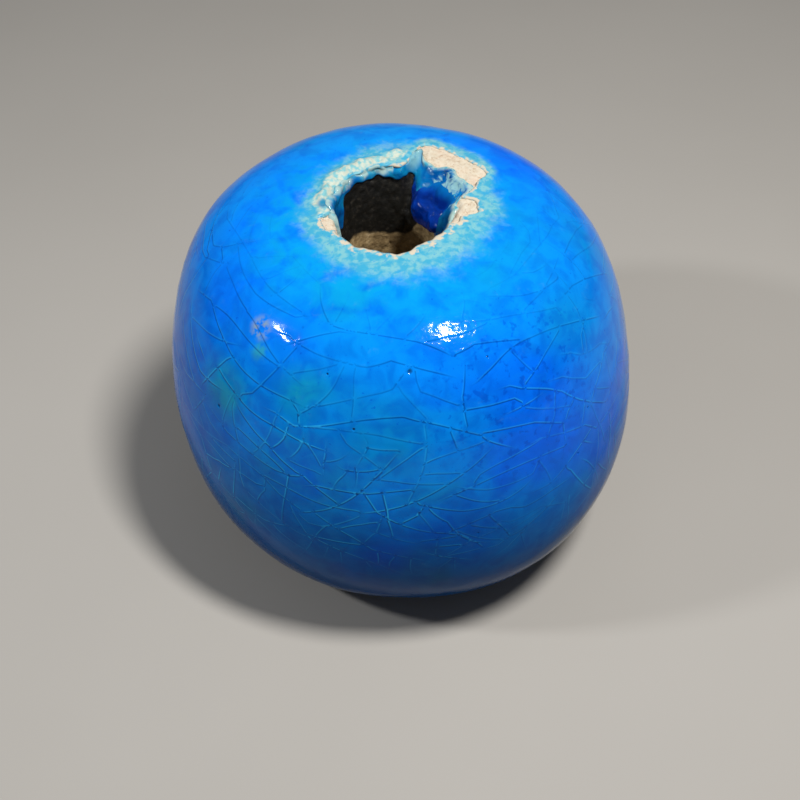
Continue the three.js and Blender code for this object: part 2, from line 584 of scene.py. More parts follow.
def widest_gap(net, lowest):
    """A place in the widest of the gaps found at random, and what lies nearest to it."""
    theta = rng.uniform(-180, 180, GAP_TRIES)
    along = rng.uniform(15, lowest, GAP_TRIES)
    runs = np.array([crack_may_run(a, b) for a, b in zip(theta, along)])
    theta, along = theta[runs], along[runs]
    places = np.array([net.place(a, b) for a, b in zip(theta, along)], np.float32)
    gaps = np.linalg.norm(net.places[None] - places[:, None], axis=2)
    nearest = gaps.argmin(axis=1)
    gap = gaps.min(axis=1) / cell_size(theta, along)
    best = int(gap.argmax())
    return theta[best], along[best], nearest[best], gap[best]


def grow_cracks():
    """The lines of every crack: its points, how plain it is, and which ends are free."""
    net = CrackNet()
    lowest = OUTLINE_AT[-1] - FOOT_RADIUS - 3.0
    for theta, along, heading, reach in LONG_CRACKS:
        net.grow(theta, along, heading, reach, 1.1, rng.uniform(0.8, 1.0))
    for _ in range(TANGLE_CRACKS):
        theta, along = TANGLE[0] + rng.normal(0, 3), TANGLE[1] + rng.normal(0, 1.3)
        net.grow(theta, along, rng.uniform(0, 360), 2.6, 9.0, 0.7)

    # Long cracks round the sides and the back, from places spread over the ball.
    for k in range(ROUND_CRACKS):
        theta = -15 + (k * GOLDEN_TURN) % 360 * (220 / 360)
        along = 19 + (k * GOLDEN_SHARE % 1.0) * (lowest - 22)
        if crack_may_run(theta, along):
            heading = flow(theta, along) + rng.normal(0, 16)
            net.grow(theta, along, heading, rng.uniform(9, 18), 0.8, rng.uniform(0.5, 1.0))

    # Then the widest gaps are split again and again.
    for _ in range(SPLITS):
        theta, along, k, gap = widest_gap(net, lowest)
        if gap < NARROW_GAP:
            continue
        if rng.random() < 0.45:
            heading = flow(theta, along) + rng.normal(0, 18)
        else:
            near = net.headings[k]
            t = math.radians(theta)
            round_way = np.array([-math.sin(t), math.cos(t), 0.0])
            heading = math.degrees(math.atan2(-near[2], near @ round_way)) + 90
            heading += rng.normal(0, 26)
        reach = rng.uniform(6, 13) if rng.random() < 0.75 else rng.uniform(2, 5)
        net.grow(theta, along, heading, reach, 1.3, rng.uniform(0.3, 1.0))
    return net.lines


def crack_strength(line, plain, start_free, end_free):
    """How plain a crack is along its length: it swells and fades, and dies out at free ends."""
    places = form(line[:, 0], line[:, 1])
    strength = plain * (0.8 + 0.45 * noise(places, 8.0, 31, octaves=2))
    strength *= smooth((line[:, 1] - 16.0) / 10.0) * 0.8 + 0.2
    strength *= 0.05 + 0.95 * smooth((places[:, 2] - 15) / 10)
    strength *= 1 - 0.55 * window(line[:, 0], 90, 60, 40) * smooth((places[:, 2] - 36) / 10)
    run = np.arange(len(line)) * CRACK_STEP
    if start_free:
        strength *= 0.1 + 0.9 * smooth(run / FADE_LENGTH)
    if end_free:
        strength *= 0.1 + 0.9 * smooth((run[-1] - run) / FADE_LENGTH)
    return np.clip(strength, 0.05, 1.0)


# ---------------------------------------------------------------- the outer glaze

EDGE_COLUMNS = 300
EDGE_DOMAIN = 12.0                # a mean glaze edge, for spacing rows near it
FINE_SPACING = 0.27               # between points beside the worn edge
COARSE_SPACING = 0.95             # between points out on the ball
HIDDEN_ROWS = 40
HIDDEN_DEPTH = 0.62               # of the hidden side below the ball's form
LOWEST_Z = 0.12                   # the glaze stands clear of the table
CLEARANCE = 0.3                   # between a crack or a pinhole and the background points

POINT = np.dtype([
    ("theta", float), ("along", float), ("ridge", float), ("groove", float), ("pit", float),
    ("centre", bool), ("edge", bool), ("lowest", bool),
])


def new_points(theta, along, **values):
    """Points of the glaze's face, with any of their other values."""
    points = np.zeros(len(theta), POINT)
    points["theta"], points["along"] = theta, along
    for label, value in values.items():
        points[label] = value
    return points


def glaze_rows():
    """Background rows of points, closer together near the worn edge."""
    lowest = OUTLINE_AT[-1] - FOOT_RADIUS - 0.1
    rows = []
    at = EDGE_DOMAIN
    k = 0
    while at < lowest - 0.6:
        share = float(smooth((at - EDGE_DOMAIN - 2.5) / 6))
        spacing = FINE_SPACING + (COARSE_SPACING - FINE_SPACING) * share
        radius = np.interp(at, OUTLINE_AT, OUTLINE_R)
        count = EDGE_COLUMNS if k == 0 else int(2 * math.pi * radius / spacing)
        theta = (np.arange(count) + 0.5 * (k % 2)) * 360.0 / count - 180.0
        shift = outline_at_radius(glaze_edge(theta)) - EDGE_DOMAIN
        shift = shift * (1 - smooth((at - EDGE_DOMAIN) / 9.0))
        rows.append(new_points(theta, at + shift, edge=k == 0))
        at += spacing * 0.87
        k += 1
    theta = np.arange(EDGE_COLUMNS) * 360.0 / EDGE_COLUMNS - 180.0
    rows.append(new_points(theta, np.full(EDGE_COLUMNS, lowest), lowest=True))
    return np.concatenate(rows)


def crack_points(lines):
    """Points along every crack: its ridge, its groove, and flat glaze beside them.

    The second result is the number of the crack that each point belongs to.
    """
    out = []
    owner = []
    for number, (line, plain, start_free, end_free) in enumerate(lines):
        strength = crack_strength(line, plain, start_free, end_free)
        radius = np.interp(line[:, 1], OUTLINE_AT, OUTLINE_R)
        run = np.gradient(np.radians(line[:, 0])) * radius
        fall = np.gradient(line[:, 1])
        size = np.maximum(np.hypot(run, fall), 1e-9)
        side_run, side_fall = -fall / size, run / size
        if side_fall.mean() < 0:
            side_run, side_fall = -side_run, -side_fall
        for step, ridge, groove in ((-1, 0, 0), (0, 1, 0), (1, 0, 1), (2, 0, 0)):
            theta = line[:, 0] + np.degrees(step * CRACK_WIDTH * side_run / radius)
            along = line[:, 1] + step * CRACK_WIDTH * side_fall
            out.append(new_points(
                theta, along, ridge=ridge * strength, groove=groove * strength, centre=step == 0
            ))
            owner.append(np.full(len(line), number))
    return np.concatenate(out), np.concatenate(owner)


PITS = [(-87, 25.5, 0.4), (-101, 33, 0.2), (-139, 38, 0.26)]   # angle, distance down, radius
PIT_COUNT = 22
PIT_GAP = 0.7                     # at least this far from any crack


def pit_points(crack_tree):
    """Points round every pinhole in the glaze."""
    dice = np.random.default_rng(9)
    pits = list(PITS)
    while len(pits) < PIT_COUNT:
        theta, along = dice.uniform(-180, 180), dice.uniform(17, 62)
        if crack_tree.find(form(np.array([theta]), np.array([along]))[0])[2] > PIT_GAP:
            pits.append((theta, along, dice.uniform(0.10, 0.2)))
    turn = np.radians(np.arange(0, 360, 45))
    out = []
    for theta, along, radius in pits:
        around = np.interp(along, OUTLINE_AT, OUTLINE_R)
        for share, depth in ((0.0, 1.0), (0.5, 0.8), (1.0, 0.05), (1.5, 0.0)):
            ways = turn if share else turn[:1]
            ways = ways + share
            out.append(new_points(
                theta + np.degrees(share * radius * np.cos(ways) / around),
                along + share * radius * np.sin(ways),
                pit=depth,
            ))
    return np.concatenate(out)


def cell_tints(points, triangles, on_crack):
    """A tint from 0 to 1 for every point. All the points of one cell of the crackle share it."""
    edges = np.concatenate([triangles[:, [0, 1]], triangles[:, [1, 2]], triangles[:, [2, 0]]])
    inner = edges[~on_crack[edges].any(axis=1)]
    label = np.arange(len(points))
    while True:
        low = np.minimum(label[inner[:, 0]], label[inner[:, 1]])
        lower = label.copy()
        np.minimum.at(lower, inner[:, 0], low)
        np.minimum.at(lower, inner[:, 1], low)
        lower = lower[lower]
        if (lower == label).all():
            break
        label = lower
    count = np.maximum(np.bincount(label, minlength=len(points)), 1)
    centre = np.stack([np.bincount(label, p, len(points)) / count for p in points.T], axis=1)
    cell = centre[label]
    whole = smooth((2600 - count[label]) / 1200.0)
    own = lattice(label, label * 7, label * 13, 3) - 0.5
    tint = noise(points, 12.0, 44, 2) * (1 - whole) + noise(cell, 12.0, 44, 2) * whole
    tint = 0.5 + 0.26 * tint + 0.5 * own * whole
    near = np.zeros(len(points))
    meets = np.zeros(len(points))
    for a, b in ((0, 1), (1, 0)):
        clear = ~on_crack[edges[:, b]]
        np.add.at(near, edges[clear, a], tint[edges[clear, b]])
        np.add.at(meets, edges[clear, a], 1)
    return np.clip(np.where(on_crack & (meets > 0), near / np.maximum(meets, 1), tint), 0, 1)


def tree_of(places):
    tree = kdtree.KDTree(len(places))
    for k, place in enumerate(places):
        tree.insert(place, k)
    tree.balance()
    return tree


def worn_share(theta, radius):
    """How worn and pale the glaze is: 1 beside the lip, 0 well away from it."""
    reach = 14.4 + 0.8 * window(theta, -95, 25, 30) + 1.6 * window(theta, 70, 30, 20)
    reach = reach - 1.0 * window(theta, 170, 40, 30)
    inner = glaze_edge(theta)
    return 1 - smooth((radius - inner) / (reach + 1.2 - inner))


def crust_share(theta, radius):
    """1 along the lumpy whitish crust beside the back left of the mouth."""
    middle = glaze_edge(theta) + 1.3 + 1.3 * window(theta, 86, 3, 12)
    middle = middle - 0.5 * window(theta, 168, 12, 15)
    width = 1.0 + 0.2 * np.sin(np.radians(13 * theta))
    return window(theta, 136, 46, 12) * np.exp(-((radius - middle) / width) ** 2)


def bead_share(theta, past_edge):
    """1 along the rounded bead where the glaze has drawn back from bare clay."""
    bare = np.maximum(window(theta, 50, 42, 10), window(theta, -12, 20, 10))
    return bare * np.exp(-(((past_edge - 0.35) / 0.3) ** 2))


def glaze_relief(face, spots, rest, worn):
    """How far the glaze's face stands out of its smooth form, in millimetres."""
    past_edge = rest - glaze_edge(spots["theta"])
    crust = crust_share(spots["theta"], rest) * smooth(past_edge / 0.5)
    relief = 0.05 * noise(face, 5.0, 41, octaves=2) + 0.012 * noise(face, 1.6, 42, octaves=1)
    relief += worn * 0.05 * noise(face, 1.0, 43, octaves=3)
    relief += crust * (0.32 + 0.5 * noise(face, 1.2, 45, octaves=3))
    relief += 0.08 * bead_share(spots["theta"], past_edge)
    relief += 0.028 * spots["ridge"] - 0.03 * spots["groove"] - 0.2 * spots["pit"]
    return relief - 0.12 * (1 - smooth(past_edge / 0.4))


def kept_apart(cracks, owner):
    """Crack points less those too near another crack's ridge, and a tree of the ridges."""
    places = form(cracks["theta"], cracks["along"])
    centres = np.flatnonzero(cracks["centre"])
    tree = tree_of(places[centres])
    keep = np.ones(len(cracks), bool)
    for k in np.flatnonzero(~cracks["centre"]):
        for _, hit, _ in tree.find_range(places[k], CRACK_WIDTH * 0.93):
            if owner[centres[hit]] != owner[k]:
                keep[k] = False
    return cracks[keep], tree


def face_points(lines):
    """Every point of the glaze's face: the background, the cracks and the pinholes."""
    cracks, tree = kept_apart(*crack_points(lines))
    marks = np.concatenate([cracks, pit_points(tree)])
    rows = glaze_rows()
    tree = tree_of(form(marks["theta"], marks["along"]))
    places = form(rows["theta"], rows["along"])
    clear = np.array([tree.find(place)[2] > CLEARANCE for place in places])
    return np.concatenate([rows[clear | rows["edge"] | rows["lowest"]], marks])


def join_up(spots):
    """The face's triangles, found in a plane in which the ball is unrolled."""
    reach = np.exp(np.interp(spots["along"], OUTLINE_AT, UNROLLED) - UNROLLED[-1])
    plane = [Vector(place[:2]) for place in polar(reach, spots["theta"], 0.0)]
    _, _, triangles, origin, _, _ = delaunay_2d_cdt(plane, [], [], 0, 1e-10, True)
    spots = spots[[first for first, *_ in origin]]
    triangles = np.array(triangles)
    in_hole = spots["edge"][triangles].all(axis=1)
    return spots, triangles[~in_hole]


def rim_of(spots, label):
    """The numbers of the points on one rim of the glaze's face, in order of their angle."""
    found = np.flatnonzero(spots[label])
    return found[np.argsort(spots["theta"][found])]


def build_outer_glaze():
    """One closed mesh: the crackled face, the edges, and the hidden side on the clay."""
    spots, triangles = join_up(face_points(grow_cracks()))
    theta, along = spots["theta"], spots["along"]
    face = form(theta, along)
    tint = cell_tints(face, triangles, spots["centre"])
    rest = np.interp(along, OUTLINE_AT, OUTLINE_R)
    top = along < WIDEST_AT
    worn = worn_share(theta, rest) * top
    crust = crust_share(theta, rest) * top
    relief = glaze_relief(face, spots, rest, worn)
    face = face + (form(theta, along, -1.0) - face) * relief[:, None]

    # The hidden side: rows from the upper edge, under the clay's skin, to the lower edge.
    upper_rim, lower_rim = rim_of(spots, "edge"), rim_of(spots, "lowest")
    start = outline_at_radius(glaze_edge(theta[upper_rim])) + 0.25
    end = along.max() - 0.3
    hidden = []
    rims = [upper_rim]
    for k, share in enumerate(np.linspace(0, 1, HIDDEN_ROWS)):
        depth = HIDDEN_DEPTH if 0 < share < 1 else 0.5
        hidden.append(form(theta[upper_rim], start + (end - start) * share, depth))
        rims.append(len(face) + k * EDGE_COLUMNS + np.arange(EDGE_COLUMNS))
    rims.append(lower_rim)
    points = np.concatenate([face, *hidden])
    points[:, 2] = np.maximum(points[:, 2], LOWEST_Z)
    faces = triangles.tolist()
    for above, below in zip(rims, rims[1:]):
        faces += strip(above, below)

    # Painted highlight: each crack's ridge is painted lighter, as where it catches the light, less of
    # it high on the front and none low down.
    patchy = np.clip(0.68 + 0.55 * noise(face, 9.0, 53, octaves=2), 0.2, 1.0)
    light = spots["ridge"] * patchy * (0.2 + 0.8 * smooth((along - 25) / 9))
    light = light * smooth((face[:, 2] - 14) / 10)
    attributes = []
    for label, values, hidden_value in (
        ("crack_highlight", light, 0.0), ("crack_shade", spots["groove"], 0.0),
        ("worn", worn, 1.0), ("crust", crust, 0.0), ("tint", tint, 0.5),
        ("pit", spots["pit"], 0.0),
    ):
        under = np.full(len(points) - len(face), hidden_value)
        attributes.append((label, np.concatenate([values, under])))
    piece = make_piece("crackled_glaze", points, faces, attributes)
    face_outwards(piece)
    return piece


# ---------------------------------------------------------------- glaze in the mouths

MOUTH_COLUMNS = 300
SECTION_STEPS = 400
COAT_ROWS = 40
LOWER_COAT_ROWS = 24
SUNK = 0.3                        # how far the back of each coat lies inside the clay


class MouthSection:
    """The clay down one side of the mouth, by the distance run along it from the top."""

    def __init__(self, theta):
        self.theta = theta
        self.r, self.z = mouth_section(theta, SECTION_STEPS)
        self.length = running_length(self.r, self.z)

    def run_at_radius(self, radius):
        return np.interp(-radius, -self.r, self.length)

    def standing_off(self, run, off):
        """Points at runs along the section, off millimetres above the clay."""
        normal_r = np.interp(run, self.length, np.gradient(self.z, self.length))
        normal_z = -np.interp(run, self.length, np.gradient(self.r, self.length))
        r = np.interp(run, self.length, self.r) + normal_r * off
        z = np.interp(run, self.length, self.z) + normal_z * off
        return polar(r, self.theta, z)


def blunt(share):
    """The thickness of a coat across its width, as a share: full, with rounded edges."""
    return np.sqrt(np.clip(1 - (2 * share - 1) ** 6, 0, 1))


def mouth_glaze_reach(theta):
    """How far the glaze inside the upper mouth runs down, from where the lip starts to turn."""
    t = np.radians(theta)
    reach = 4.9 + 0.6 * window(theta, -176, 24, 24) + 3.5 * window(theta, 14, 40, 34)
    reach = reach - 3.5 * window(theta, 112, 32, 18)
    return reach + 0.15 * np.sin(5 * t + 0.2) + 0.1 * np.sin(13 * t) + 0.05 * np.sin(29 * t)


def upper_coat_thickness(theta, share):
    """Thin at the back and front, thicker where it gathers at the sides."""
    gathered = 0.25 * window(theta, 15, 40, 40) * share
    under_crust = 0.4 * window(theta, 140, 50, 12) * (1 - smooth((share - 0.1) / 0.25))
    beads = 0.35 * window(theta, 55, 30, 10) * np.exp(-((share - 0.1) / 0.07) ** 2)
    return 0.3 + gathered + under_crust + beads


def build_upper_mouth_glaze():
    """A closed coat of glaze lying on the upper mouth's clay, between two uneven edges."""
    share = np.linspace(0, 1, COAT_ROWS)
    front, back, down = [], [], []
    for theta in np.arange(MOUTH_COLUMNS) * 360.0 / MOUTH_COLUMNS:
        section = MouthSection(theta)
        start = section.run_at_radius(mouth_glaze_edge(theta))
        end = section.run_at_radius(crest_radius(theta) + LIP_ROUND) + mouth_glaze_reach(theta)
        run = start + (end - start) * share
        swell = upper_coat_thickness(theta, share) * blunt(share)
        front.append(section.standing_off(run, swell - 0.18 * (swell <= 0)))
        back.append(section.standing_off(run, -SUNK))
        down.append(share * (end - start))
    front = np.array(front).transpose(1, 0, 2)
    back = np.array(back).transpose(1, 0, 2)[::-1]
    points = np.concatenate([*front, *back])
    faces = ring_faces(2 * COAT_ROWS, MOUTH_COLUMNS)
    normals = mesh_normals(points, faces)
    outer = np.arange(len(points)) < COAT_ROWS * MOUTH_COLUMNS
    lumps = 0.14 * noise(points, 1.4, 51, octaves=2) + 0.10 * noise(points, 4.0, 52)
    points = points - normals * (lumps * outer)[:, None]
    down = np.array(down).T
    down = np.concatenate([down, down[::-1]]).ravel()
    piece = make_piece("upper_mouth_coat", points, faces, [("down", down)])
    face_outwards(piece)
    return piece


def build_lower_mouth_glaze():
    """A plain coat on the flare of the lower mouth."""
    theta = np.arange(MOUTH_COLUMNS) * 360.0 / MOUTH_COLUMNS
    t = np.radians(theta)
    wall = bore_radius(theta)
    crest = lower_crest(theta)
    start_height = 0.75
    deep = 4.6 + 0.5 * np.sin(3 * t) + 0.3 * np.sin(7 * t + 1)
    front = np.linspace(0, 1, LOWER_COAT_ROWS)
    rows = []
    for thickness, shares in ((0.4, front), (-SUNK, front[::-1])):
        for share in shares:
            turn = (0.04 + 0.9 * share) * math.pi / 2
            z = start_height + (deep - start_height) * (1 - math.cos(turn)) ** 0.8
            off = thickness * blunt(share) if thickness > 0 else thickness
            rows.append(polar(crest - (crest - wall) * math.sin(turn) - off, theta, z))
    points = np.concatenate(rows)
    outwards = np.tile(polar(1.0, theta, 0.0), (len(rows), 1))
    points += 0.05 * noise(points, 2.0, 61)[:, None] * outwards
    down = np.repeat(np.concatenate([front, front[::-1]]) * 5, MOUTH_COLUMNS)
    faces = ring_faces(len(rows), MOUTH_COLUMNS)
    piece = make_piece("lower_mouth_coat", points, faces, [("down", down)])
    face_outwards(piece)
    return piece


# ---------------------------------------------------------------- the thick run

RUN_ROUND = 90                    # points across it
RUN_DOWN = 70                     # points down it
RUN_MIDDLE = 40                   # degrees
RUN_HALF = 37
RUN_DEPTH = 5.9                   # how far below the top it hangs
RUN_LUMPS = np.array([-0.7, -0.6, 0.3])   # the way in which its lumps stand out


def build_glaze_run():
    """A fat curtain of glaze on the mouth's back right wall, thickest at its lower lip."""
    down = np.linspace(-1, 1, RUN_DOWN)
    front = np.zeros((RUN_DOWN, RUN_ROUND, 3))
    back = np.zeros_like(front)
    for j, across in enumerate(np.linspace(-1, 1, RUN_ROUND)):
        theta = RUN_MIDDLE + RUN_HALF * across
        section = MouthSection(theta)
        top = section.run_at_radius(mouth_glaze_edge(theta) - 0.7)
        inside = section.r < crest_radius(theta)
        low = RUN_DEPTH + 0.35 * math.sin(2.5 * across + 0.6)
        bottom = np.interp(low, HEIGHT - section.z[inside], section.length[inside])
        half_height = math.sqrt(max(0.0, 1 - abs(across) ** 3.5))
        middle = (top + bottom) / 2 + 0.1 * (bottom - top)
        run = middle + down * half_height * (bottom - top) / 2
        fat = np.clip(1 - np.abs(down) ** 3, 0, 1) ** 0.6 * half_height
        belly = 0.357 + 1.365 * smooth((down + 0.9) / 1.5)
        front[:, j] = section.standing_off(run, fat * belly)
        back[:, j] = section.standing_off(run, -0.25 * (fat > 0))
    front, back = front.reshape(-1, 3), back.reshape(-1, 3)
    front += 0.24 * noise(front, 1.25, 71, octaves=2)[:, None] * RUN_LUMPS

    count = len(front)
    at = np.arange(count).reshape(RUN_DOWN, RUN_ROUND)
    quads = np.stack([at[:-1, :-1], at[:-1, 1:], at[1:, 1:], at[1:, :-1]], axis=-1)
    quads = quads.reshape(-1, 4)
    outline = np.concatenate([at[0], at[1:, -1], at[-1, -2::-1], at[-2:0:-1, 0]])
    faces = quads.tolist() + (quads[:, ::-1] + count).tolist() + strip(outline, outline + count)
    fallen = np.tile(np.repeat(down, RUN_ROUND), 2)
    piece = make_piece("cobalt_run", np.concatenate([front, back]), faces, [("down", fallen)])
    face_outwards(piece, weld=True)
    return piece


# ---------------------------------------------------------------- materials


def linear(r, g, b):
    """A colour from screen values of 0 to 255."""
    def one(v):
        v /= 255
        return v / 12.92 if v <= 0.04045 else ((v + 0.055) / 1.055) ** 2.4
    return (one(r), one(g), one(b), 1.0)


class Nodes:
    """Short calls for building one material."""

    def __init__(self, name):
        self.material = bpy.data.materials.new(name)
        self.material.use_nodes = True
        self.tree = self.material.node_tree
        self.shader = self.tree.nodes["Principled BSDF"]
        self.coords = self.tree.nodes.new("ShaderNodeTexCoord").outputs["Object"]
        self.body = None

    def put(self, socket, value):
        if isinstance(value, bpy.types.NodeSocket):
            self.tree.links.new(value, socket)
        else:
            socket.default_value = value

    def noise(self, size, detail=3.0, distortion=0.0, roughness=0.5):
        """Noise with lumps of the given size in millimetres."""
        n = self.tree.nodes.new("ShaderNodeTexNoise")
        self.put(n.inputs["Vector"], self.coords)
        n.inputs["Scale"].default_value = 1.0 / (size * MM)
        n.inputs["Detail"].default_value = detail
        n.inputs["Distortion"].default_value = distortion
        n.inputs["Roughness"].default_value = roughness
        return n.outputs["Fac"]

    def math(self, kind, a, b=0.0, clamp=False):
        n = self.tree.nodes.new("ShaderNodeMath")
        n.operation = kind
        n.use_clamp = clamp
        self.put(n.inputs[0], a)
        self.put(n.inputs[1], b)
        return n.outputs[0]

    def rise(self, value, start, end, low=0.0, high=1.0):
        """A smooth step from low at start to high at end."""
        n = self.tree.nodes.new("ShaderNodeMapRange")
        n.interpolation_type = "SMOOTHSTEP"
        self.put(n.inputs["Value"], value)
        n.inputs["From Min"].default_value = start
        n.inputs["From Max"].default_value = end
        n.inputs["To Min"].default_value = low
        n.inputs["To Max"].default_value = high
        return n.outputs[0]

    def times(self, a, b):
        return self.math("MULTIPLY", a, b)

    def plus(self, a, b):
        return self.math("ADD", a, b)

    def mix(self, share, a, b):
        n = self.tree.nodes.new("ShaderNodeMix")
        n.data_type = "RGBA"
        self.put(n.inputs[0], share)
        self.put(n.inputs[6], a)
        self.put(n.inputs[7], b)
        return n.outputs[2]

    def lay(self, share, strength, colour):
        """Lays a colour over the body's, as much as share times strength."""
        self.body = self.mix(self.times(share, strength), self.body, colour)

    def ramp(self, value, stops):
        n = self.tree.nodes.new("ShaderNodeValToRGB")
        self.put(n.inputs["Fac"], value)
        elements = n.color_ramp.elements
        while len(elements) < len(stops):
            elements.new(0.5)
        for element, (place, colour) in zip(elements, stops):
            element.position = place
            element.color = colour
        return n.outputs["Color"]

    def attribute(self, name):
        n = self.tree.nodes.new("ShaderNodeAttribute")
        n.attribute_name = name
        return n.outputs["Fac"]

    def near(self, centre, inner, outer):
        """1 within inner of a place in millimetres, falling to 0 at outer."""
        n = self.tree.nodes.new("ShaderNodeVectorMath")
        n.operation = "DISTANCE"
        self.put(n.inputs[0], self.coords)
        n.inputs[1].default_value = [c * MM for c in centre]
        return self.rise(n.outputs["Value"], outer * MM, inner * MM)

    def axis(self, name):
        n = self.tree.nodes.new("ShaderNodeSeparateXYZ")
        self.put(n.inputs[0], self.coords)
        return n.outputs[name]

    def bump(self, height, strength, distance, under=None):
        """distance is the height of the relief in millimetres."""
        n = self.tree.nodes.new("ShaderNodeBump")
        self.put(n.inputs["Height"], height)
        n.inputs["Strength"].default_value = strength
        n.inputs["Distance"].default_value = distance * MM
        if under is not None:
            self.put(n.inputs["Normal"], under)
        return n.outputs["Normal"]

    def finish(self, roughness, normal=None, ior=None):
        """Connects the body's colour and the rest, and returns the material."""
        self.put(self.shader.inputs["Base Color"], self.body)
        self.put(self.shader.inputs["Roughness"], roughness)
        if ior is not None:
            self.shader.inputs["IOR"].default_value = ior
        if normal is not None:
            self.put(self.shader.inputs["Normal"], normal)
        return self.material


def on_ball(theta, along):
    """A place on the ball's face, for a patch of colour."""
    return form(np.array([theta]), np.array([along]))[0].tolist()


GLAZE_IOR = 1.22
AZURE = (0.001, 0.215, 0.74, 1.0)
SKY = (0.004, 0.26, 0.74, 1.0)
COBALT = (0.0, 0.125, 0.84, 1.0)
DEEP_COBALT = (0.0, 0.06, 0.48, 1.0)
TURQUOISE = (0.002, 0.21, 0.52, 1.0)
TEAL = (0.004, 0.27, 0.44, 1.0)
PALE = (0.17, 0.42, 0.46, 1.0)
PALE_BLUE = (0.05, 0.32, 0.47, 1.0)
CREAM = (0.52, 0.46, 0.36, 1.0)
CRUST = (0.48, 0.52, 0.44, 1.0)
FOOT_SHADE = (0.0, 0.026, 0.10, 1.0)
HALO_GREEN = (0.002, 0.30, 0.56, 1.0)
RUBBED_YELLOW = (0.30, 0.36, 0.20, 1.0)
RUBBED_GREEN = (0.03, 0.34, 0.30, 1.0)
POOL_BLUE = (0.002, 0.17, 0.32, 1.0)
CRACK_HIGHLIGHT = (0.03, 0.54, 0.96, 1.0)
CRACK_SHADE = (0.0, 0.03, 0.2, 1.0)
PINHOLE = (0.004, 0.03, 0.10, 1.0)
VEIN = (0.20, 0.38, 0.42, 1.0)
CORNER_BLUE = (0.001, 0.13, 0.40, 1.0)
LEFT_SHADE = (0.001, 0.06, 0.17, 1.0)
FRONT_SHADE = (0.001, 0.035, 0.11, 1.0)
LIP_BLUE = (0.06, 0.34, 0.44, 1.0)
LIP_PALE = (0.36, 0.50, 0.45, 1.0)
CORNER_PALE = (0.20, 0.42, 0.45, 1.0)
RUN_THIN = (0.001, 0.12, 0.36, 1.0)

# Clouds of other glaze colours on the ball: angle, distance down, inner and outer
# radius, colour, strength.
CLOUDS = [
    (-50, 37, 5, 14, COBALT, 0.9),
    (-62, 27, 1, 8, COBALT, 0.5),
    (-20, 30, 3, 13, AZURE, 0.6),
    (-112, 40, 3, 10, TURQUOISE, 0.9),
    (-94, 34, 2, 8, TURQUOISE, 0.7),
    (-138, 35, 1, 6, TEAL, 0.9),
    (-116, 30, 1, 5, TEAL, 0.8),
    (-125, 24, 1, 7, COBALT, 0.5),
    (-150, 24, 3, 11, COBALT, 0.6),
    (-108, 17, 1, 6, TURQUOISE, 0.7),
    (88, 20, 4, 18, SKY, 0.8),
    (40, 40, 4, 14, TURQUOISE, 0.5),
    (95, 46, 4, 14, COBALT, 0.6),
    (150, 42, 4, 13, TEAL, 0.5),
    (170, 26, 3, 12, AZURE, 0.5),
    (0, 52, 4, 12, COBALT, 0.5),
    (-75, 50, 3, 9, DEEP_COBALT, 0.5),
    (-156, 42, 4, 15, DEEP_COBALT, 0.45),
    (-30, 36, 3, 12, SKY, 0.3),
]

RUBBED_SPOT = (-134, 25)          # a small yellowish place where the glaze is rubbed thin
RUBBED_TRAIL = (-131, 27.5)
SPOTTED = (-58, 32)               # the middle of the dark-spotted cobalt glaze
ORANGE_PEEL = (-72, 21)           # the roughest patch of the glaze's face

# Places in and round the upper mouth, as x, y and z.
LEFT_POOL = (-9.3, 0.6, HEIGHT)               # a drop of clear glaze caught in the crust
BASIN = (7.6, 5.8, HEIGHT - 1.5)              # the glaze over the worn back right of the lip
DEEP_CORNER = (10.4, 4.4, HEIGHT - 1.2)
LEFT_WALL = (-8.5, -2.0, HEIGHT - 2.0)
FRONT_WALL = (7.0, -3.0, HEIGHT - 3.5)
NOTCH = (1.6, 11.4, HEIGHT - 0.8)             # where the coat crosses the lip at the back
HALO_MIDDLE = (-2.0, -3.0, HEIGHT)


